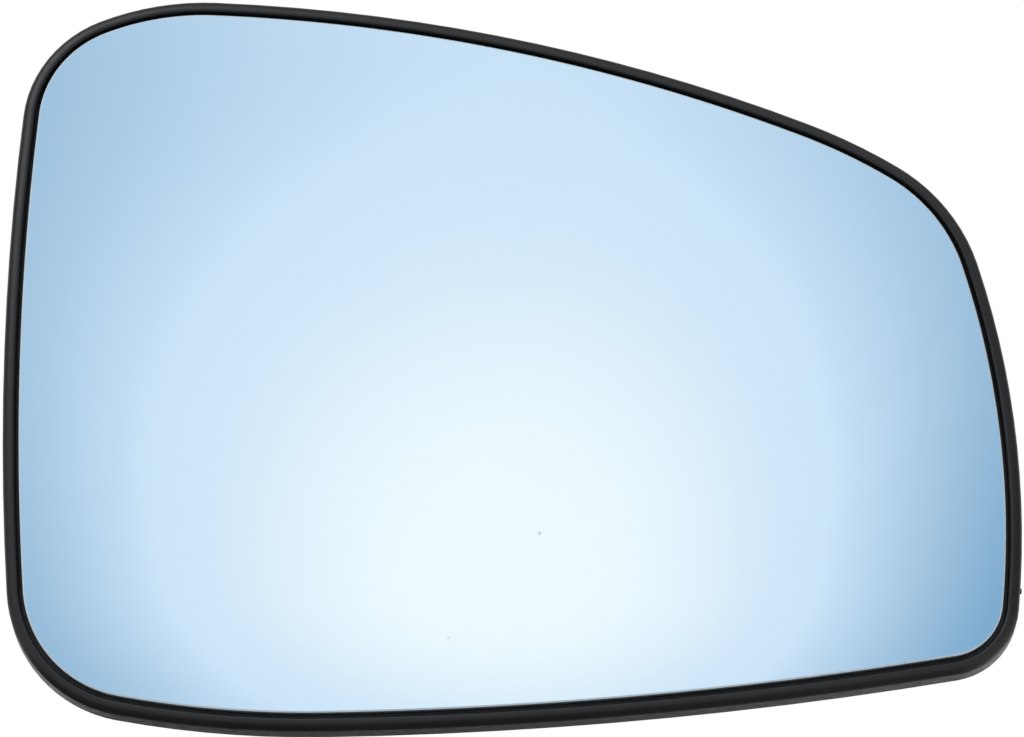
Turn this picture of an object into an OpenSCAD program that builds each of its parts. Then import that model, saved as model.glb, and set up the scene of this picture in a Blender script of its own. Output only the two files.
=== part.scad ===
// Door mirror glass: a convex glass stuck to a heating pad, on a black backing plate that snaps
// onto the mirror's actuator.
// The pieces are drawn lying down, with the mirror facing +Z and its top towards +Y. upright()
// turns them, so the mirror faces -Y and its top is +Z.
// The origin is on the axis of the actuator socket, at the plane where the socket's mate is seated.

/* [Outline of the glass] */
// X of the lower left corner's centre
ll_x = -65.3; // [-68:0.1:-62]
// Y of the lower left corner's centre
ll_y = -38; // [-41:0.1:-35]
// Radius of the lower left corner
ll_r = 21.4; // [19:0.1:24]
// Radius that the lower left corner eases into on its bottom side
ll_ease_r = 180; // [120:5:260]
// Direction in which the lower left corner begins to ease
ll_ease_angle = 259; // [256:0.5:262]
// X of the lower right corner's centre
lr_x = 76.5; // [73:0.1:80]
// Y of the lower right corner's centre
lr_y = -41.5; // [-44:0.1:-39]
// Radius of the lower right corner
lr_r = 10.4; // [8:0.1:13]
// X of the top right corner's centre
tr_x = 53; // [51:0.1:55]
// Y of the top right corner's centre
tr_y = 11.8; // [10:0.1:14]
// Radius of the top right corner
tr_r = 29.4; // [27:0.1:32]
// Radius that the top right corner eases into on its top side
tr_ease_r = 100; // [80:5:130]
// Direction in which the top right corner begins to ease
tr_ease_angle = 58.5; // [55:0.5:62]
// X of the top left corner's centre
tl_x = -67.7; // [-71:0.1:-64]
// Y of the top left corner's centre
tl_y = 48; // [45:0.1:51]
// Radius of the top left corner
tl_r = 18.5; // [16:0.1:21]
// Radius that the top left corner eases into on its top side
tl_ease_r = 47; // [40:1:54]
// Direction in which the top left corner begins to ease
tl_ease_angle = 111.5; // [108:0.5:115]
// Radius of the bottom edge
bottom_r = 670; // [550:10:1200]
// Radius of the right edge
right_r = 160; // [140:5:220]
// Radius of the top edge
top_r = 350; // [300:10:420]
// Radius of the left edge
left_r = 530; // [400:10:800]

/* [Glass and heating pad] */
// Radius of the mirror's convex front
front_r = 1260; // [900:20:2000]
// Thickness of the glass
glass_t = 2; // [1.5:0.1:3]
// Thickness of the heating pad with its adhesive
pad_t = 0.5; // [0.3:0.1:0.8]
// Distance of the pad's edge inside the glass edge
pad_inset = 3; // [2:0.5:6]

/* [Rim] */
// Width of the groove between the glass edge and the rim
glass_gap = 0.8; // [0.4:0.05:1]
// Depth under the glass front at which the rim begins to round over from the groove
lip_drop = 0.9; // [0.8:0.1:1.4]
// Depth of the rim's crown under the glass front
crown_drop = 0.4; // [0:0.1:0.7]
// Distance of the crown from the glass edge
crown_w = 1.35; // [1.2:0.05:1.6]
// Distance of the rim's widest line from the glass edge
rim_w = 3.05; // [2.8:0.05:3.6]
// Depth of the widest line under the glass front
shoulder_drop = 1.9; // [1.5:0.1:2.3]
// Depth of the rim's foot under the glass front
foot_drop = 6.3; // [6:0.1:8]
// Slope of the rim's outer wall, which widens to its foot
wall_draft = 1.5; // [0:0.25:3]
// Thickness of the rim's wall behind the plate
skirt_t = 1.5; // [1.2:0.1:1.7]
// Radius of the rounded edges at the foot
foot_r = 0.35; // [0.2:0.05:0.5]

/* [Backing plate] */
// Thickness of the plate behind the pad
plate_t = 2; // [1.6:0.1:2.5]
// Distance from the socket's seat plane to the back of the plate, on the socket's axis
seat_h = 0.6; // [0.5:0.1:1]
// Thickness of the ribs
rib_t = 1.2; // [0.8:0.1:1.6]
// Height of the ribs over the back of the plate
rib_h = 1.7; // [1:0.1:1.9]
// Number of spokes
spokes = 8; // [4:2:12]
// Inner radius of the round rib
hoop_r = 43; // [40:0.5:45]
// Diameter of the moulding's gate mark on the right edge
gate_d = 1; // [0.6:0.1:1.4]
// Height of the gate mark over the wall
gate_h = 0.3; // [0.1:0.1:0.5]
// Depth of the gate mark's middle under the glass front
gate_drop = 4; // [3.5:0.1:5]
// Y of the gate mark
gate_y = -39; // [-41:0.5:-30]

/* [Actuator socket] */
// Radius of the socket's bore
socket_r = 31; // [28:0.5:33]
// Thickness of the socket's wall
socket_wall = 1.6; // [1.2:0.1:2]
// Depth of the socket's bore
socket_depth = 6; // [5:0.5:7]
// Width of the flat land that the mate is seated on
seat_w = 4; // [2:0.5:6]
// Number of snap fingers
fingers = 4; // [3:1:5]
// Width of a finger
finger_w = 7; // [5:0.5:8]
// Width of the slot at each side of a finger
finger_slot = 1.2; // [0.8:0.1:1.4]
// Gap between a finger and a mate that fills the bore
finger_gap = 0.6; // [0.5:0.05:0.8]
// Free length between the bore's end and the hooks
hook_gap = 1.2; // [1:0.1:1.5]
// Length of a hook along the finger
hook_l = 1.8; // [1.5:0.1:2.2]
// Reach of a hook into the bore
hook_reach = 0.8; // [0.5:0.1:1]

/* [Terminals] */
// Distance of the terminals from the socket's axis
terminal_x = 53.5; // [52:0.5:56]
// Distance between the middles of the two terminals
terminal_pitch = 16; // [15:0.5:18]
// Width of a terminal's blade
blade_w = 6.3; // [4.8:0.1:6.3]
// Thickness of a terminal
blade_t = 0.8; // [0.5:0.1:0.8]
// Length of a blade
blade_l = 10; // [8:0.5:12]
// Diameter of the latch hole in a blade
blade_hole_d = 1.8; // [1.4:0.1:2]
// Length of a terminal's foot
foot_l = 7.5; // [7:0.1:8]
// Room round a terminal in its window
window_gap = 1.4; // [1:0.1:1.6]
// Air between the flat foot and the curved pad
foot_gap = 0.02; // [0.02:0.01:0.05]
// Diameter of a rivet
rivet_d = 1.4; // [1.2:0.1:1.6]
// Diameter of a rivet's head
rivet_head_d = 2.4; // [2.2:0.1:2.6]
// Height of a rivet's head
rivet_head_h = 0.5; // [0.4:0.1:0.7]
// Clearance round a rivet
rivet_gap = 0.05; // [0.03:0.01:0.1]
// Distance between the two rivets of a foot
rivet_pitch = 3.4; // [3:0.1:3.6]

/* [Hidden] */

// Fineness of the spheres, and how far a straight step may leave an arc of the outline
$fn = 256;
chord_error = 0.02;
// Length by which one shape runs into another, or a cut runs out of it
over = 1;

// Every surface of the glass, pad and plate lies on a sphere round this centre
front_z = seat_h + plate_t + pad_t + glass_t;
centre_z = front_z - front_r;
// Depths under the mirror's front
pad_drop = glass_t;
plate_drop = glass_t + pad_t;
back_drop = plate_drop + plate_t;

// The four corners, as [x, y, radius]
lower_left = [ll_x, ll_y, ll_r];
lower_right = [lr_x, lr_y, lr_r];
top_right = [tr_x, tr_y, tr_r];
top_left = [tl_x, tl_y, tl_r];
lower_left_ease = eased(lower_left, ll_ease_r, ll_ease_angle);
top_right_ease = eased(top_right, tr_ease_r, tr_ease_angle);
top_left_ease = eased(top_left, tl_ease_r, tl_ease_angle);

// The whole outline as circles that touch, anticlockwise
OUTLINE = [
    lower_left,
    lower_left_ease,
    edge_between(lower_left_ease, lower_right, bottom_r),
    lower_right,
    edge_between(lower_right, top_right, right_r),
    top_right,
    top_right_ease,
    edge_between(top_right_ease, top_left_ease, top_r),
    top_left_ease,
    top_left,
    edge_between(top_left, lower_left, left_r),
];

// A larger circle that touches circle a from outside in the given direction
function eased(a, r, direction) =
    [a.x + (a.z - r) * cos(direction), a.y + (a.z - r) * sin(direction), r];

// The circle of radius r that holds circles a and b and touches both
function edge_between(a, b, r) =
    let (
        step = [b.x - a.x, b.y - a.y],
        length = norm(step),
        along = step / length,
        to_a = r - a.z,
        to_b = r - b.z,
        foot = (to_a ^ 2 - to_b ^ 2 + length ^ 2) / (2 * length),
        away = sqrt(to_a ^ 2 - foot ^ 2)
    )
    [a.x + foot * along.x - away * along.y, a.y + foot * along.y + away * along.x, r];

// Direction of the point where two circles of the outline touch
function touch(a, b) =
    a.z > b.z ? atan2(b.y - a.y, b.x - a.x) : atan2(a.y - b.y, a.x - b.x);

function turn(from, to) = let (angle = (to - from) % 360) angle < 0 ? angle + 360 : angle;
function steps(r, angle) = max(2, ceil(angle / (2 * acos(1 - chord_error / r))));

// Stations round the outline, as [centre x, centre y, radius, direction]
STATIONS = [
    for (i = [0 : len(OUTLINE) - 1])
        let (
            c = OUTLINE[i],
            before = OUTLINE[(i + len(OUTLINE) - 1) % len(OUTLINE)],
            after = OUTLINE[(i + 1) % len(OUTLINE)],
            from = touch(before, c),
            angle = turn(from, touch(c, after)),
            n = steps(c.z, angle)
        )
        for (k = [0 : n - 1]) [c.x, c.y, c.z, from + angle * k / n]
];

// The point that lies w outside the outline at one station
function beside(s, w) = [s[0] + (s[2] + w) * cos(s[3]), s[1] + (s[2] + w) * sin(s[3])];

// The outline with an offset of w
function outline(w) = [for (s = STATIONS) beside(s, w)];

// The point that lies w outside the outline and drop under the mirror's front sphere
function rim_point(s, w, drop) =
    let (p = beside(s, w))
    [p.x, p.y, centre_z + sqrt((front_r - drop) ^ 2 - p.x ^ 2 - p.y ^ 2)];

// The rim's section as [distance outside the glass edge, depth under the mirror's front]
inner_flank_steps = 5;
outer_flank_steps = 9;
foot_w = rim_w + (foot_drop - shoulder_drop) * tan(wall_draft);
skirt_w = foot_w - skirt_t;
mid_plate = (plate_drop + back_drop) / 2;
RIM_SECTION = concat(
    [[glass_gap, mid_plate]],
    [for (i = [0 : inner_flank_steps - 1]) let (a = 90 * i / inner_flank_steps)
        [crown_w - (crown_w - glass_gap) * cos(a), lip_drop - (lip_drop - crown_drop) * sin(a)]],
    [for (i = [0 : outer_flank_steps]) let (a = 90 * i / outer_flank_steps)
        [crown_w + (rim_w - crown_w) * sin(a), shoulder_drop - (shoulder_drop - crown_drop) * cos(a)]],
    [[foot_w, foot_drop - foot_r], [foot_w - foot_r, foot_drop]],
    [[skirt_w + foot_r, foot_drop], [skirt_w, foot_drop - foot_r], [skirt_w, mid_plate]]
);

module upright() rotate([90, 0, 0]) children();

// A ball round the common centre, its poles turned away from the mirror
module ball(drop) translate([0, 0, centre_z]) rotate([90, 0, 0]) sphere(r = front_r - drop);

// A curved sheet between two depths under the mirror's front, as wide as the outline with an offset
module sheet(from_drop, to_drop, w) {
    edge_z = centre_z + front_r / 2;
    intersection() {
        translate([0, 0, edge_z]) linear_extrude(front_r) polygon(outline(w));
        difference() {
            ball(from_drop);
            ball(to_drop);
        }
    }
}

// Stands children on the pad's back at (x, y), with +Z pointing out through the glass
module on_pad(x, y)
    translate([0, 0, centre_z])
        rotate([0, atan2(x, front_r), 0])
            rotate([-atan2(y, front_r), 0, 0])
                translate([0, 0, front_r - plate_drop]) children();

// The rim, as one sweep of its section round the outline
module rim() {
    n = len(STATIONS);
    m = len(RIM_SECTION);
    points = [for (s = STATIONS) for (p = RIM_SECTION) rim_point(s, p[0], p[1])];
    faces = [
        for (i = [0 : n - 1]) for (j = [0 : m - 1])
            let (
                here = i * m,
                next = ((i + 1) % n) * m,
                k = (j + 1) % m
            )
            each [[here + j, next + k, here + k], [here + j, next + j, next + k]]
    ];
    polyhedron(points, faces, convexity = 6);
}

// A turned sector of the socket: the profile is [radius, height], its middle at angle
module sector(angle, width, profile) {
    span = 2 * asin(width / (2 * socket_r));
    rotate([0, 0, angle - span / 2]) rotate_extrude(angle = span) polygon(profile);
}

finger_angles = [for (i = [0 : fingers - 1]) 360 * (i + 0.5) / fingers];
finger_r = socket_r + finger_gap;
hook_z = -socket_depth - hook_gap;
finger_z = hook_z - hook_l;
hook_r = socket_r - hook_reach;

module socket_wall_ring()
    difference() {
        translate([0, 0, -socket_depth]) cylinder(r = socket_r + socket_wall, h = socket_depth + over);
        translate([0, 0, -socket_depth - over]) cylinder(r = socket_r, h = socket_depth + 3 * over);
        for (a = finger_angles)
            sector(a, finger_w + 2 * finger_slot, [
                [socket_r - over, -socket_depth - over], [socket_r + socket_wall + over, -socket_depth - over],
                [socket_r + socket_wall + over, 0], [socket_r - over, 0],
            ]);
    }

// The flat land at the bore's end
module seat_land()
    intersection() {
        difference() {
            cylinder(r = socket_r + socket_wall / 2, h = seat_h + plate_t);
            translate([0, 0, -over]) cylinder(r = socket_r - seat_w, h = seat_h + plate_t + 2 * over);
        }
        ball(mid_plate);
    }

module snap_finger(angle)
    sector(angle, finger_w, [
        [finger_r, over], [finger_r, hook_z], [hook_r, hook_z - hook_reach / 4],
        [hook_r, finger_z + hook_l / 2], [finger_r, finger_z],
        [finger_r + socket_wall, finger_z], [finger_r + socket_wall, over],
    ]);

// The hole that the mould's core leaves in front of a hook
module hook_window(angle)
    sector(angle, finger_w, [
        [hook_r - finger_gap, -over], [socket_r - finger_gap, -over],
        [socket_r - finger_gap, front_z], [hook_r - finger_gap, front_z],
    ]);

module ribs() {
    intersection() {
        sheet(mid_plate, back_drop + rib_h, skirt_w + foot_r);
        union() {
            for (i = [0 : spokes - 1])
                rotate([0, 0, 360 * (i + 0.5) / spokes])
                    translate([socket_r + socket_wall / 2, -rib_t / 2, -front_r / 2])
                        cube([front_r / 4, rib_t, front_r]);
            difference() {
                translate([0, 0, -front_r / 2]) cylinder(r = hoop_r + rib_t, h = front_r);
                translate([0, 0, -front_r / 2 - over]) cylinder(r = hoop_r, h = front_r + 2 * over);
            }
        }
    }
}

terminal_y = terminal_pitch / 2;

module terminal_window(y)
    translate([terminal_x - foot_l / 2 - window_gap, y - blade_w / 2 - window_gap, -2 * back_drop])
        cube([foot_l + 2 * window_gap, blade_w + 2 * window_gap, 4 * back_drop]);

// The small mark of the mould's gate on the right edge's wall
module gate_mark() {
    edge = edge_between(lower_right, top_right, right_r);
    w = rim_w + (gate_drop - shoulder_drop) * tan(wall_draft);
    x = edge.x + sqrt((edge.z + w) ^ 2 - (gate_y - edge.y) ^ 2);
    z = centre_z + sqrt((front_r - gate_drop) ^ 2 - x ^ 2 - gate_y ^ 2);
    translate([x - skirt_t / 2, gate_y, z]) rotate([0, 90, 0]) cylinder(d = gate_d, h = skirt_t / 2 + gate_h);
}

module mirror_glass() color([0.72, 0.85, 0.95]) upright() sheet(0, pad_drop, 0);

module heating_pad()
    color([0.25, 0.25, 0.27])
        upright()
            difference() {
                sheet(pad_drop, plate_drop, -pad_inset);
                rivet_places() translate([0, 0, -over]) cylinder(d = rivet_d + 2 * rivet_gap, h = 2 * over);
            }

module backing_plate()
    color([0.1, 0.1, 0.1])
        upright()
            difference() {
                union() {
                    sheet(plate_drop, back_drop, skirt_w + foot_r);
                    rim();
                    socket_wall_ring();
                    seat_land();
                    for (a = finger_angles) snap_finger(a);
                    ribs();
                    gate_mark();
                }
                for (a = finger_angles) hook_window(a);
                for (y = [-terminal_y, terminal_y]) terminal_window(y);
            }

// The two rivet places of every terminal foot
module rivet_places()
    for (y = [-terminal_y, terminal_y])
        on_pad(terminal_x, y)
            for (x = [-rivet_pitch / 2, rivet_pitch / 2]) translate([x + blade_t / 2, 0, 0]) children();

module terminal(y)
    upright()
        difference() {
            on_pad(terminal_x, y) {
                translate([-foot_l / 2, -blade_w / 2, -foot_gap - blade_t]) cube([foot_l, blade_w, blade_t]);
                translate([-foot_l / 2, 0, -foot_gap]) blade();
            }
            rivet_places() translate([0, 0, -2 * over]) cylinder(d = rivet_d + 2 * rivet_gap, h = 3 * over);
        }

// A blade with a tapered tip and a latch hole, hanging from z = 0 along -Z
module blade() {
    tip = blade_w / 6;
    difference() {
        rotate([90, 0, 90])
            linear_extrude(blade_t)
                polygon([
                    [-blade_w / 2, 0], [-blade_w / 2, tip - blade_l], [tip - blade_w / 2, -blade_l],
                    [blade_w / 2 - tip, -blade_l], [blade_w / 2, tip - blade_l], [blade_w / 2, 0],
                ]);
        translate([-over, 0, -blade_l + blade_w / 2]) rotate([0, 90, 0])
            cylinder(d = blade_hole_d, h = blade_t + 2 * over);
    }
}

module terminal_upper() color("silver") terminal(terminal_y);
module terminal_lower() color("silver") terminal(-terminal_y);

module terminal_rivets()
    color("goldenrod")
        upright()
            rivet_places() {
                head_z = -foot_gap - blade_t - rivet_head_h;
                translate([0, 0, head_z]) cylinder(d = rivet_head_d, h = rivet_head_h);
                translate([0, 0, head_z]) cylinder(d = rivet_d, h = pad_t + foot_gap + blade_t + rivet_head_h - rivet_gap);
            }

mirror_glass();
heating_pad();
backing_plate();
terminal_upper();
terminal_lower();
terminal_rivets();
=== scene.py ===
import math

import bmesh
import bpy
import numpy as np
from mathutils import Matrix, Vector


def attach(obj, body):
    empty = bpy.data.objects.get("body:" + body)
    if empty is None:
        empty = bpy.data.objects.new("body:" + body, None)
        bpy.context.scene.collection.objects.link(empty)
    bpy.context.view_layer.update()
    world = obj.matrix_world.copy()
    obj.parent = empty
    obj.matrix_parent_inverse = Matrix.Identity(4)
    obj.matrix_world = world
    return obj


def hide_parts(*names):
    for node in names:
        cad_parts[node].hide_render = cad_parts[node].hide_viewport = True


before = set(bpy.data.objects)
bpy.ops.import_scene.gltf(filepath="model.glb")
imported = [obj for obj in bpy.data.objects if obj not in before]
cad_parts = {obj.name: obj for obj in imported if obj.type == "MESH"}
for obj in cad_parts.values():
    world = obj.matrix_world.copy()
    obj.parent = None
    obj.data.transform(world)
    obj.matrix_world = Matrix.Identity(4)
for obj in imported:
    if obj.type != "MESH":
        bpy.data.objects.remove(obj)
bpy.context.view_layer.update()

# The mirror glass.
# A sheet of 2 mm glass, bent to a large sphere, silvered with a pale blue coating and painted at its
# back. Its edge is cut to the outline, and the sharp corners are ground off all round.

MM = 0.001
FRONT_RADIUS = 1260 * MM
GLASS_THICKNESS = 2.0 * MM
PAD_THICKNESS = 0.5 * MM
PLATE_THICKNESS = 2.0 * MM
SEAT_HEIGHT = 0.6 * MM
FRONT_HEIGHT = SEAT_HEIGHT + PLATE_THICKNESS + PAD_THICKNESS + GLASS_THICKNESS
SPHERE_HEIGHT = FRONT_HEIGHT - FRONT_RADIUS

# The corners of the glass as x, y and radius, seen from the front
LOWER_LEFT = np.array([-65.3, -38.0, 21.4]) * MM
LOWER_RIGHT = np.array([76.5, -41.5, 10.4]) * MM
TOP_RIGHT = np.array([53.0, 11.8, 29.4]) * MM
TOP_LEFT = np.array([-67.7, 48.0, 18.5]) * MM

# The arcs that ease a corner into its edge, as radius and the direction in which they touch the corner
LOWER_LEFT_EASE = (180 * MM, math.radians(259))
TOP_RIGHT_EASE = (100 * MM, math.radians(58.5))
TOP_LEFT_EASE = (47 * MM, math.radians(111.5))

BOTTOM_RADIUS = 670 * MM
RIGHT_RADIUS = 160 * MM
TOP_RADIUS = 350 * MM
LEFT_RADIUS = 530 * MM
STEPS_PER_ARC = 56


def eased(corner, radius, direction):
    """A larger circle that holds the corner's circle and touches it in the given direction."""
    away = (corner[2] - radius) * np.array([math.cos(direction), math.sin(direction)])
    return np.array([*(corner[:2] + away), radius])


def edge_between(a, b, radius):
    """
    The circle of the given radius that holds circles a and b and touches both, where a comes before b
    anticlockwise. Its centre is as far from each as the radii differ.
    """
    step = b[:2] - a[:2]
    length = np.linalg.norm(step)
    along = step / length
    to_a = radius - a[2]
    to_b = radius - b[2]
    foot = (to_a**2 - to_b**2 + length**2) / (2 * length)
    away = math.sqrt(to_a**2 - foot**2)
    centre = a[:2] + foot * along + away * np.array([-along[1], along[0]])
    return np.array([*centre, radius])


def touch(a, b):
    """The direction, from either centre, of the point where one circle touches the other from inside."""
    step = b - a if a[2] > b[2] else a - b
    return math.atan2(step[1], step[0])


def outline_circles():
    """The eleven circles of the glass edge, anticlockwise from the lower left corner."""
    lower_left_ease = eased(LOWER_LEFT, *LOWER_LEFT_EASE)
    top_right_ease = eased(TOP_RIGHT, *TOP_RIGHT_EASE)
    top_left_ease = eased(TOP_LEFT, *TOP_LEFT_EASE)
    return [
        LOWER_LEFT,
        lower_left_ease,
        edge_between(lower_left_ease, LOWER_RIGHT, BOTTOM_RADIUS),
        LOWER_RIGHT,
        edge_between(LOWER_RIGHT, TOP_RIGHT, RIGHT_RADIUS),
        TOP_RIGHT,
        top_right_ease,
        edge_between(top_right_ease, top_left_ease, TOP_RADIUS),
        top_left_ease,
        TOP_LEFT,
        edge_between(TOP_LEFT, LOWER_LEFT, LEFT_RADIUS),
    ]


def outline_stations():
    """
    Rows of centre x, centre y, radius and direction round the glass edge. Each arc runs in equal steps
    from where it touches the arc before it to where it touches the next.
    """
    circles = outline_circles()
    rows = []
    for before, circle, after in zip(circles[-1:] + circles[:-1], circles, circles[1:] + circles[:1]):
        start = touch(before, circle)
        sweep = (touch(circle, after) - start) % (2 * math.pi)
        turn = start + sweep * np.arange(STEPS_PER_ARC) / STEPS_PER_ARC
        rows.append(np.column_stack([np.tile(circle, (STEPS_PER_ARC, 1)), turn]))
    return np.vstack(rows)


STATIONS = outline_stations()


def swept(rows):
    """
    Points of a surface round the outline. Each row is (beside, share, drop): its point at a station lies
    beside outside the glass edge, moved to that share of its distance from the middle, on the sphere that
    is drop under the mirror's front. Returned in the part's frame, where the mirror faces -Y.
    """
    beside, share, drop = np.asarray(rows).T[:, :, None]
    reach = STATIONS[:, 2] + beside
    x = share * (STATIONS[:, 0] + reach * np.cos(STATIONS[:, 3]))
    y = share * (STATIONS[:, 1] + reach * np.sin(STATIONS[:, 3]))
    z = SPHERE_HEIGHT + np.sqrt((FRONT_RADIUS - drop) ** 2 - x**2 - y**2)
    return np.stack([x, -z, y], axis=-1)


def grid_faces(rows, columns):
    """
    Quads between neighbouring rows of points, closed round the columns. They face outwards where the rows
    run from the front's middle to the back's and the columns run anticlockwise as seen from the front.
    """
    i, j = np.mgrid[0 : rows - 1, 0:columns]
    here = i * columns + j
    beyond = i * columns + (j + 1) % columns
    return np.stack([here, here + columns, beyond + columns, beyond], axis=-1).reshape(-1, 4)


def new_piece(name, points, quads, triangles=()):
    """A smooth mesh from arrays of points, quads and triangles."""
    mesh = bpy.data.meshes.new(name)
    mesh.from_pydata(points.reshape(-1, 3).tolist(), [], [*map(tuple, quads.tolist()), *triangles])
    mesh.validate()
    mesh.shade_smooth()
    piece = bpy.data.objects.new(name, mesh)
    bpy.context.scene.collection.objects.link(piece)
    return piece


class Wiring:
    """Short ways to add nodes to a material or a world. A value is a number, a colour or an output."""

    def __init__(self, owner):
        owner.use_nodes = True
        self.nodes = owner.node_tree.nodes
        self.links = owner.node_tree.links

    def feed(self, socket, value):
        """Sets a socket to a number, place or colour, or links an output to it."""
        if isinstance(value, bpy.types.NodeSocket):
            self.links.new(value, socket)
        elif socket.type == "RGBA":
            socket.default_value = (*value, 1)
        else:
            socket.default_value = value

    def calculate(self, operation, *values):
        """One Math node."""
        node = self.nodes.new("ShaderNodeMath")
        node.operation = operation
        for socket, value in zip(node.inputs, values):
            self.feed(socket, value)
        return node.outputs["Value"]

    def ease(self, value, start, end, low=0.0, high=1.0):
        """Runs smoothly from low to high as value runs from start to end."""
        node = self.nodes.new("ShaderNodeMapRange")
        node.interpolation_type = "SMOOTHSTEP"
        self.feed(node.inputs["Value"], value)
        for name, number in (("From Min", start), ("From Max", end), ("To Min", low), ("To Max", high)):
            self.feed(node.inputs[name], number)
        return node.outputs["Result"]

    def mixed(self, factor, first, second):
        """A colour that runs from first to second with the factor."""
        node = self.nodes.new("ShaderNodeMix")
        node.data_type = "RGBA"
        for name, value in (("Factor", factor), ("A", first), ("B", second)):
            self.feed(node.inputs[name], value)
        return node.outputs["Result"]


# The values that a noise pattern seldom leaves
PATTERN_LOW = 0.3
PATTERN_HIGH = 0.7


class Finish(Wiring):
    """A new material. Its patterns read the Object coordinates, in metres in the part's frame."""

    def __init__(self, name):
        self.material = bpy.data.materials.new(name)
        super().__init__(self.material)
        self.shader = self.nodes["Principled BSDF"]
        self.where = self.nodes.new("ShaderNodeTexCoord").outputs["Object"]

    def noise(self, waves, detail=3.0):
        """A noise pattern with its waves for each metre."""
        node = self.nodes.new("ShaderNodeTexNoise")
        self.feed(node.inputs["Vector"], self.where)
        self.feed(node.inputs["Scale"], waves)
        self.feed(node.inputs["Detail"], detail)
        return node.outputs["Fac"]

    def distance(self, point):
        """How far each place lies from a point."""
        node = self.nodes.new("ShaderNodeVectorMath")
        node.operation = "DISTANCE"
        self.feed(node.inputs[0], self.where)
        self.feed(node.inputs[1], point)
        return node.outputs["Value"]

    def between(self, pattern, first, second):
        """A colour that runs from first to second as a pattern runs from PATTERN_LOW to PATTERN_HIGH."""
        node = self.nodes.new("ShaderNodeValToRGB")
        ends = node.color_ramp.elements
        for end, position, colour in zip(ends, (PATTERN_LOW, PATTERN_HIGH), (first, second)):
            end.position = position
            end.color = (*colour, 1)
        self.feed(node.inputs["Fac"], pattern)
        return node.outputs["Color"]

    def colour(self, value):
        """Gives the shader its colour."""
        self.feed(self.shader.inputs["Base Color"], value)

    def roughness(self, pattern, smoothest, roughest):
        """Gives the shader a roughness that follows a pattern."""
        node = self.nodes.new("ShaderNodeMapRange")
        self.feed(node.inputs["Value"], pattern)
        self.feed(node.inputs["From Min"], PATTERN_LOW)
        self.feed(node.inputs["From Max"], PATTERN_HIGH)
        self.feed(node.inputs["To Min"], smoothest)
        self.feed(node.inputs["To Max"], roughest)
        self.feed(self.shader.inputs["Roughness"], node.outputs["Result"])

    def bump(self, pattern, height):
        """Raises the surface with a pattern, by its height in metres."""
        node = self.nodes.new("ShaderNodeBump")
        self.feed(node.inputs["Strength"], 1.0)
        self.feed(node.inputs["Distance"], height)
        self.feed(node.inputs["Height"], pattern)
        self.feed(self.shader.inputs["Normal"], node.outputs["Normal"])


# Specks of dust on the glass: place in the part's frame, radius, and how far they hide the silvering
DUST_SPECKS = [
    ((4.9 * MM, -4.7 * MM, -30.3 * MM), 0.50 * MM, 0.55),
    ((-11.2 * MM, -4.1 * MM, -49.1 * MM), 0.36 * MM, 0.35),
]
DUST_GREY = (0.24, 0.24, 0.22)


def with_dust(finish, colour):
    """Lays soft round specks over a colour, each strongest at its middle and gone at its radius."""
    for middle, radius, cover in DUST_SPECKS:
        hidden = finish.ease(finish.distance(middle), 0.0, radius, cover, 0.0)
        colour = finish.mixed(hidden, colour, DUST_GREY)
    return colour


def silvered_glass():
    """The mirror's face: a pale blue metal coating behind polished glass, with a faint haze and dust."""
    finish = Finish("blue_silvered_glass")
    finish.shader.inputs["Metallic"].default_value = 1.0
    finish.shader.inputs["Coat Weight"].default_value = 0.15
    finish.shader.inputs["Coat Roughness"].default_value = 0.01
    finish.shader.inputs["Coat IOR"].default_value = 1.5
    silver = finish.between(finish.noise(9), (0.690, 0.845, 0.955), (0.705, 0.855, 0.960))
    finish.colour(with_dust(finish, silver))
    finish.roughness(finish.noise(40), smoothest=0.012, roughest=0.022)
    return finish.material


def ground_glass_bevel():
    """The front corner after grinding: pale, frosted glass over the silvering."""
    finish = Finish("ground_glass_bevel")
    finish.colour(finish.between(finish.noise(900), (0.52, 0.62, 0.68), (0.62, 0.71, 0.76)))
    finish.roughness(finish.noise(1500), smoothest=0.25, roughest=0.45)
    finish.bump(finish.noise(6000), 0.01 * MM)
    return finish.material


def cut_glass_wall():
    """The cut edge below the ground corner: clear glass with a blue tint, darkened to dark blue as
    painted shade of the groove seen through it.
    """
    finish = Finish("cut_glass_wall")
    # Painted shade: this dark blue colour stands in for the dark groove seen through clear glass, over
    # the glass's own faint blue tint.
    finish.colour(finish.between(finish.noise(900), (0.13, 0.17, 0.19), (0.17, 0.21, 0.24)))
    finish.roughness(finish.noise(1500), smoothest=0.25, roughest=0.40)
    return finish.material


def backing_paint():
    """The grey paint that guards the silvering at the back."""
    finish = Finish("mirror_backing_paint")
    finish.colour(finish.between(finish.noise(500), (0.075, 0.080, 0.085), (0.10, 0.105, 0.11)))
    finish.roughness(finish.noise(800), smoothest=0.5, roughest=0.65)
    return finish.material


FRONT_BEVEL = 0.26 * MM
BACK_BEVEL = 0.25 * MM
FRONT_ROWS = 40
BACK_ROWS = 12

# The ground bevel, eased at both ends: how far inside the edge and under the front, as shares of it
BEVEL_ROWS = [(0.92, 0.02), (0.10, 0.78), (0.0, 1.0)]


def glass_rows():
    """The glass section from the middle of its front, over the ground edge, to the middle of its back."""
    front = [(-FRONT_BEVEL, share, 0.0) for share in np.linspace(0, 1, FRONT_ROWS + 1)[1:]]
    bevel = [(-inside * FRONT_BEVEL, 1, under * FRONT_BEVEL) for inside, under in BEVEL_ROWS]
    wall = [(0.0, 1, GLASS_THICKNESS - BACK_BEVEL), (-BACK_BEVEL, 1, GLASS_THICKNESS)]
    back = [(-BACK_BEVEL, share, GLASS_THICKNESS) for share in np.linspace(1, 0, BACK_ROWS + 1)[1:-1]]
    return front + bevel + wall + back


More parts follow.
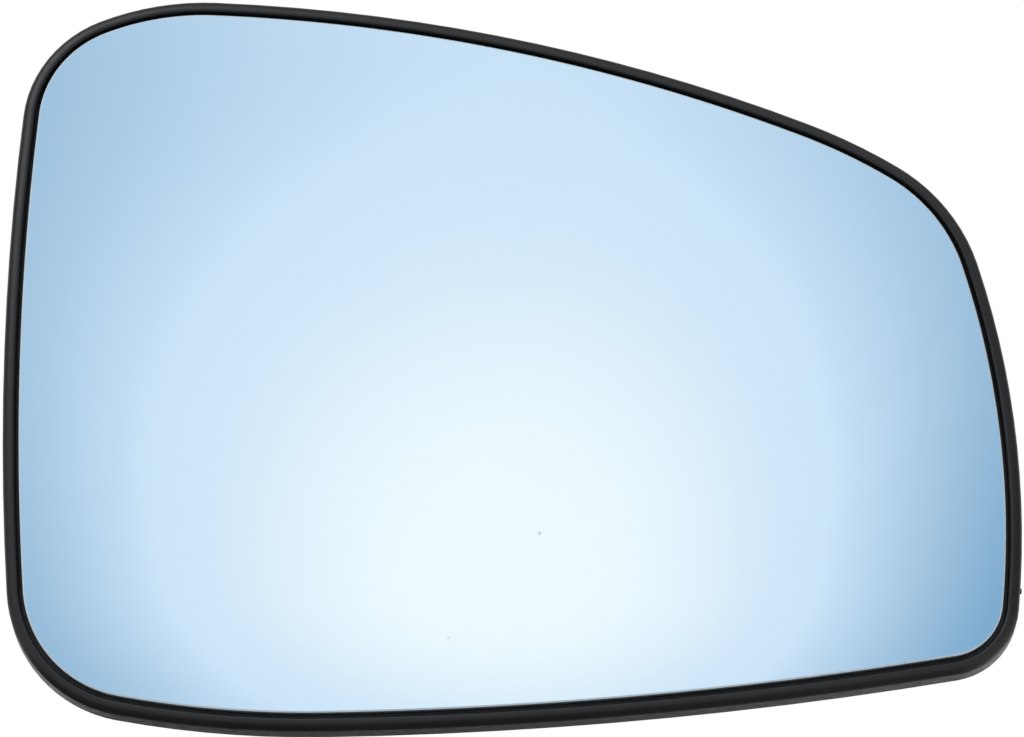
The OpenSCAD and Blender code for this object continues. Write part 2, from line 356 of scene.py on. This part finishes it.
def mirror_glass():
    """
    The closed lens of glass: swept rows with a fan of triangles over each middle. Its faces point
    outwards, and the edges between its four finishes and round its back are sharp.
    """
    rows = glass_rows()
    columns = len(STATIONS)
    front_middle = [0.0, -FRONT_HEIGHT, 0.0]
    back_middle = [0.0, GLASS_THICKNESS - FRONT_HEIGHT, 0.0]
    points = np.vstack([swept(rows).reshape(-1, 3), front_middle, back_middle])
    ring = list(range(columns))
    beyond = ring[1:] + ring[:1]
    last = (len(rows) - 1) * columns
    front_fan = [(len(points) - 2, a, b) for a, b in zip(ring, beyond)]
    back_fan = [(len(points) - 1, last + b, last + a) for a, b in zip(ring, beyond)]
    piece = new_piece("convex_mirror_glass", points, grid_faces(len(rows), columns), front_fan + back_fan)

    materials = [silvered_glass(), ground_glass_bevel(), cut_glass_wall(), backing_paint()]
    for material in materials:
        piece.data.materials.append(material)
    bevel_start = FRONT_ROWS - 1
    wall_start = bevel_start + len(BEVEL_ROWS)
    back_start = wall_start + 2
    row_of_face = np.repeat(np.arange(len(rows) - 1), columns)
    zone = np.searchsorted([bevel_start, wall_start, back_start], row_of_face, side="right")
    zone = np.concatenate([zone, np.zeros(columns, int), np.full(columns, len(materials) - 1)])
    piece.data.polygons.foreach_set("material_index", zone.astype(np.int32))

    ends = np.empty(len(piece.data.edges) * 2, dtype=np.int32)
    piece.data.edges.foreach_get("vertices", ends)
    row_of_end = (ends // columns).reshape(-1, 2)
    along_ring = row_of_end[:, 0] == row_of_end[:, 1]
    sharp = along_ring & np.isin(row_of_end[:, 0], [bevel_start, wall_start, back_start - 1, back_start])
    piece.data.attributes.new("sharp_edge", "BOOLEAN", "EDGE").data.foreach_set("value", sharp)
    return piece


glass = mirror_glass()
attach(glass, "root")
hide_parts("mirror_glass")


# The heating pad.
# A thin film with a printed heater, stuck between the glass and the plate. Only its back shows, through
# the plate's windows.

TRACK_WIDTH = 3 * MM
WAVE_TURN = 20


def heater_film():
    """
    Dark grey film with darker printed tracks, one track's width apart. Blender's wave turns by WAVE_TURN
    times its scale for each metre, and half a turn is one track.
    """
    finish = Finish("heater_film")
    tracks = finish.nodes.new("ShaderNodeTexWave")
    tracks.bands_direction = "Z"
    finish.feed(tracks.inputs["Scale"], math.pi / (WAVE_TURN * TRACK_WIDTH))
    finish.feed(tracks.inputs["Distortion"], 0.0)
    finish.feed(tracks.inputs["Vector"], finish.where)
    finish.colour(finish.between(tracks.outputs["Fac"], (0.030, 0.031, 0.033), (0.055, 0.056, 0.060)))
    finish.roughness(finish.noise(700), smoothest=0.38, roughest=0.5)
    finish.bump(tracks.outputs["Fac"], 0.03 * MM)
    return finish.material


def dress(node, material):
    """Gives a CAD piece its finish."""
    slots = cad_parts[node].data.materials
    slots.clear()
    slots.append(material)


dress("heating_pad", heater_film())


# The backing plate.
# One injection moulding in black plastic with a fine grain: the curved plate, the rounded rim that stands
# round the glass, the snap socket, its fingers and the ribs.


def black_moulded_plastic():
    """Black plastic with the fine grain of its mould and faint flow marks."""
    finish = Finish("black_moulded_plastic")
    finish.shader.inputs["IOR"].default_value = 1.5
    flow = finish.noise(60, detail=2.0)
    finish.colour(finish.between(flow, (0.0065, 0.0065, 0.0070), (0.0095, 0.0093, 0.0099)))
    finish.roughness(finish.noise(700), smoothest=0.30, roughest=0.42)
    finish.bump(finish.noise(5200, detail=4.0), 0.012 * MM)
    return finish.material


SMOOTH_ANGLE = math.radians(32)
MERGE_DISTANCE = 0.002 * MM
TINY = 1e-20


def corner_normals(mesh):
    """
    The normal at each corner of a triangle mesh: the sum of the normals of the faces at its point, each
    times its area, over the faces that turn from the corner's own face by less than SMOOTH_ANGLE.
    """
    faces = len(mesh.polygons)
    point = np.empty(faces * 3, dtype=np.int32)
    mesh.loops.foreach_get("vertex_index", point)
    places = np.empty(len(mesh.vertices) * 3)
    mesh.vertices.foreach_get("co", places)
    a, b, c = places.reshape(-1, 3)[point].reshape(faces, 3, 3).transpose(1, 0, 2)
    weighted = np.cross(b - a, c - a)
    size = np.linalg.norm(weighted, axis=1, keepdims=True)
    plain = weighted / np.maximum(size, TINY)
    order = np.argsort(point, kind="stable")
    count = np.bincount(point, minlength=len(mesh.vertices))
    first = np.cumsum(count) - count
    around = count[point]
    corner = np.repeat(np.arange(faces * 3), around)
    step = np.arange(len(corner)) - np.repeat(np.cumsum(around) - around, around)
    other = order[first[point[corner]] + step] // 3
    alike = np.einsum("ij,ij->i", plain[corner // 3], plain[other]) > math.cos(SMOOTH_ANGLE)
    normals = np.zeros((faces * 3, 3))
    np.add.at(normals, corner[alike], weighted[other[alike]])
    length = np.linalg.norm(normals, axis=1, keepdims=True)
    return np.where(length > TINY, normals / np.maximum(length, TINY), plain[np.arange(faces * 3) // 3])


def smooth_copy(node, name):
    """A copy of a CAD piece's mesh, its points merged and its gentle facets shaded as one surface."""
    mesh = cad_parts[node].data.copy()
    mesh.name = name
    piece = bpy.data.objects.new(name, mesh)
    bpy.context.scene.collection.objects.link(piece)
    work = bmesh.new()
    work.from_mesh(mesh)
    bmesh.ops.remove_doubles(work, verts=work.verts, dist=MERGE_DISTANCE)
    work.to_mesh(mesh)
    work.free()
    mesh.shade_smooth()
    mesh.normals_split_custom_set(corner_normals(mesh).tolist())
    mesh.materials.clear()
    return piece


plate = smooth_copy("backing_plate", "moulded_backing_plate")
plate.data.materials.append(black_moulded_plastic())
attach(plate, "root")
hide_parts("backing_plate")


# The terminals and their rivets.
# Blades stamped from tinned brass sheet, each held on the pad by two plain brass rivets.


def tinned_brass():
    """Tin plating with fine marks of the stamping."""
    finish = Finish("tinned_brass")
    finish.shader.inputs["Metallic"].default_value = 1.0
    finish.colour(finish.between(finish.noise(400), (0.56, 0.55, 0.52), (0.68, 0.67, 0.64)))
    finish.roughness(finish.noise(2500), smoothest=0.24, roughest=0.42)
    finish.bump(finish.noise(9000), 0.004 * MM)
    return finish.material


def plain_brass():
    """Bare brass, dulled a little."""
    finish = Finish("plain_brass")
    finish.shader.inputs["Metallic"].default_value = 1.0
    finish.colour(finish.between(finish.noise(900), (0.50, 0.36, 0.15), (0.63, 0.47, 0.22)))
    finish.roughness(finish.noise(3000), smoothest=0.28, roughest=0.45)
    return finish.material


terminal_finish = tinned_brass()
dress("terminal_upper", terminal_finish)
dress("terminal_lower", terminal_finish)
dress("terminal_rivets", plain_brass())


# The studio.
# A wide pale floor far under the part and two soft lamps, in a room that is white to the camera. Gloss
# sees a bright pale blue screen low in front, a pale room behind the part, and a floor dark near it.

FLOOR_HEIGHT = -2.0
FLOOR_SIZE = 66.0
FLOOR_PALE = (0.93, 0.93, 0.93)
FLOOR_LIFT = 0.32
FLOOR_DARK = (0.08, 0.08, 0.08)
FLOOR_DARK_MIDDLE = (0.0, 3.0, FLOOR_HEIGHT)
FLOOR_DARK_FADES = (4.0, 9.0)
FLOOR_DARK_FADES_RIGHT = (0.0, 2.8)
FLOOR_ROUGHNESS = 0.9
WHITE = (1.0, 1.0, 1.0)


def pale_floor():
    """
    A plain plane, nearly white, and lifted to white for the camera. In gloss it is dark round a place
    behind the part, and paler to the right and far off.
    """
    half = FLOOR_SIZE / 2
    sides = [(-half, -half), (half, -half), (half, half), (-half, half)]
    corners = np.array([(x, y, FLOOR_HEIGHT) for x, y in sides])
    piece = new_piece("floor", corners, np.array([[0, 1, 2, 3]]))
    finish = Finish("pale_floor")
    ray = finish.nodes.new("ShaderNodeLightPath")
    at = finish.nodes.new("ShaderNodeSeparateXYZ")
    finish.feed(at.inputs["Vector"], finish.where)
    on_the_left = finish.ease(at.outputs["X"], *FLOOR_DARK_FADES_RIGHT, 1.0, 0.0)
    near = finish.ease(finish.distance(FLOOR_DARK_MIDDLE), *FLOOR_DARK_FADES, 1.0, 0.0)
    in_gloss = finish.calculate("MULTIPLY", ray.outputs["Is Glossy Ray"], on_the_left)
    finish.colour(finish.mixed(finish.calculate("MULTIPLY", in_gloss, near), FLOOR_PALE, FLOOR_DARK))
    lift = finish.calculate("MULTIPLY", ray.outputs["Is Camera Ray"], FLOOR_LIFT)
    finish.feed(finish.shader.inputs["Emission Strength"], lift)
    finish.feed(finish.shader.inputs["Emission Color"], WHITE)
    finish.feed(finish.shader.inputs["Roughness"], FLOOR_ROUGHNESS)
    piece.data.materials.append(finish.material)


SCREEN_BRIGHT = (1.19, 1.115, 1.043)
SCREEN_MIDDLE = (0.848, 0.918, 0.994)
SCREEN_DIM = (0.167, 0.381, 0.572)
SCREEN_RISE = math.radians(10.4)
SCREEN_REACH_LEFT = math.radians(18.9)
SCREEN_REACH_RIGHT = math.radians(16.7)
SCREEN_WIDENING = 1.72
SCREEN_NARROWEST = 0.2
SCREEN_REACH_UP = math.radians(15.6)
SCREEN_TOP_LIGHT = 0.47
SCREEN_REACH_DOWN = math.radians(9.3)
SCREEN_FADES = (math.radians(21), math.radians(40))
ROOM_DARK = 0.07
ROOM_LEFT = 0.34
ROOM_TOP = 0.75
ROOM_BEHIND = (0.7, 0.7, 0.7)
HORIZON_PALE = (0.69, 0.69, 0.70)
MATT_LIGHT = (0.75, 0.75, 0.76)

# Between these values of a direction's x, z or forward part, one side of the room runs into the next
LEFT_FADES = (-0.6, 0.0)
TOP_BEGINS = (0.1, 0.6)
FRONT_BEGINS = (-0.2, 0.5)
BEHIND_FADES = (-0.5, 0.0)
HORIZON_FADES = (-0.06, 0.095)


def white_room():
    """
    The world: white to the camera, even and pale to matt surfaces. Gloss sees the screen, dimmer with the
    angle across and up from its brightest place, where its reach across grows with the height. Past
    SCREEN_FADES it sees the room, paler to the left, at the top and behind the part. At the horizon all
    of it runs into the colour of the far floor.
    """
    world = bpy.data.worlds.new("white_room")
    bpy.context.scene.world = world
    wiring = Wiring(world)
    nodes = wiring.nodes
    calculate, ease, mixed = wiring.calculate, wiring.ease, wiring.mixed
    nodes.clear()

    toward = nodes.new("ShaderNodeSeparateXYZ")
    wiring.feed(toward.inputs["Vector"], nodes.new("ShaderNodeTexCoord").outputs["Generated"])
    x, y, z = (toward.outputs[axis] for axis in "XYZ")
    front = calculate("MULTIPLY", y, -1.0)
    across = calculate("ARCTAN2", x, front)
    above = calculate("SUBTRACT", calculate("ARCSINE", z), SCREEN_RISE)

    to_the_right = calculate("GREATER_THAN", across, 0.0)
    wider = SCREEN_REACH_RIGHT - SCREEN_REACH_LEFT
    reach = calculate("MULTIPLY_ADD", to_the_right, wider, SCREEN_REACH_LEFT)
    widening = calculate("MULTIPLY_ADD", above, SCREEN_WIDENING, 1.0)
    widening = calculate("MAXIMUM", widening, SCREEN_NARROWEST)
    share = calculate("DIVIDE", calculate("ABSOLUTE", across), calculate("MULTIPLY", reach, widening))
    lit_across = ease(share, 0.0, 1.0, 1.0, 0.0)
    lit_above = ease(above, 0.0, SCREEN_REACH_UP, 1.0, SCREEN_TOP_LIGHT)
    lit_below = ease(above, -SCREEN_REACH_DOWN, 0.0)
    lit = calculate("MULTIPLY", calculate("MULTIPLY", lit_across, lit_above), lit_below)
    bright = mixed(ease(lit, 0.5, 1.0), SCREEN_MIDDLE, SCREEN_BRIGHT)
    screen = mixed(calculate("MULTIPLY", lit, 2.0), SCREEN_DIM, bright)

    in_front = ease(front, *FRONT_BEGINS)
    left = calculate("MULTIPLY", ease(x, *LEFT_FADES, ROOM_LEFT, 0.0), in_front)
    top = calculate("MULTIPLY", ease(z, *TOP_BEGINS, 0.0, ROOM_TOP), in_front)
    before = calculate("ADD", calculate("MAXIMUM", left, top), ROOM_DARK)
    room = mixed(ease(front, *BEHIND_FADES, 1.0, 0.0), before, ROOM_BEHIND)

    off = calculate("ADD", calculate("POWER", across, 2.0), calculate("POWER", above, 2.0))
    past_screen = ease(calculate("SQRT", off), *SCREEN_FADES)
    low = ease(z, *HORIZON_FADES, 1.0, 0.0)
    gloss = mixed(low, mixed(past_screen, screen, room), HORIZON_PALE)
    ray = nodes.new("ShaderNodeLightPath")
    light = mixed(ray.outputs["Is Glossy Ray"], MATT_LIGHT, gloss)
    background = nodes.new("ShaderNodeBackground")
    wiring.feed(background.inputs["Color"], mixed(ray.outputs["Is Camera Ray"], light, WHITE))
    output = nodes.new("ShaderNodeOutputWorld")
    wiring.feed(output.inputs["Surface"], background.outputs["Background"])


def soft_lamp(name, place, size, watts):
    """A square area lamp that looks at the origin."""
    lamp = bpy.data.objects.new(name, bpy.data.lights.new(name, "AREA"))
    lamp.data.size = size
    lamp.data.energy = watts
    lamp.location = place
    lamp.rotation_euler = Vector(place).to_track_quat("Z", "Y").to_euler()
    bpy.context.scene.collection.objects.link(lamp)


pale_floor()
white_room()
soft_lamp("key_lamp", place=(-0.9, -0.9, 1.0), size=1.2, watts=7)
soft_lamp("low_right_lamp", place=(0.45, 0.27, -0.25), size=0.12, watts=0.12)


# The view.
# The camera stands in front of the mirror and a little below it, and looks at the point of the mirror
# that lies before the middle of the socket.

CAMERA_DISTANCE = 0.900
CAMERA_AZIMUTH = math.radians(0.0)
CAMERA_ELEVATION = math.radians(-16.5)
CLIP_START = 0.01
PIXELS_PER_METRE = 5600
PHOTO_WIDTH = 1024
SENSOR = 36.0


def front_camera():
    """A long lens whose picture has PIXELS_PER_METRE at the target's distance."""
    camera = bpy.data.objects.new("camera", bpy.data.cameras.new("camera"))
    camera.data.sensor_width = SENSOR
    camera.data.lens = PIXELS_PER_METRE * CAMERA_DISTANCE * SENSOR / PHOTO_WIDTH
    camera.data.clip_start = CLIP_START
    away = (
        math.sin(CAMERA_AZIMUTH) * math.cos(CAMERA_ELEVATION),
        -math.cos(CAMERA_AZIMUTH) * math.cos(CAMERA_ELEVATION),
        math.sin(CAMERA_ELEVATION),
    )
    target = (0.0, -FRONT_HEIGHT, 0.0)
    camera.location = [t + CAMERA_DISTANCE * a for t, a in zip(target, away)]
    camera.rotation_euler = (math.pi / 2 - CAMERA_ELEVATION, 0.0, CAMERA_AZIMUTH)
    bpy.context.scene.collection.objects.link(camera)
    bpy.context.scene.camera = camera


front_camera()
bpy.context.scene.view_settings.view_transform = "Standard"
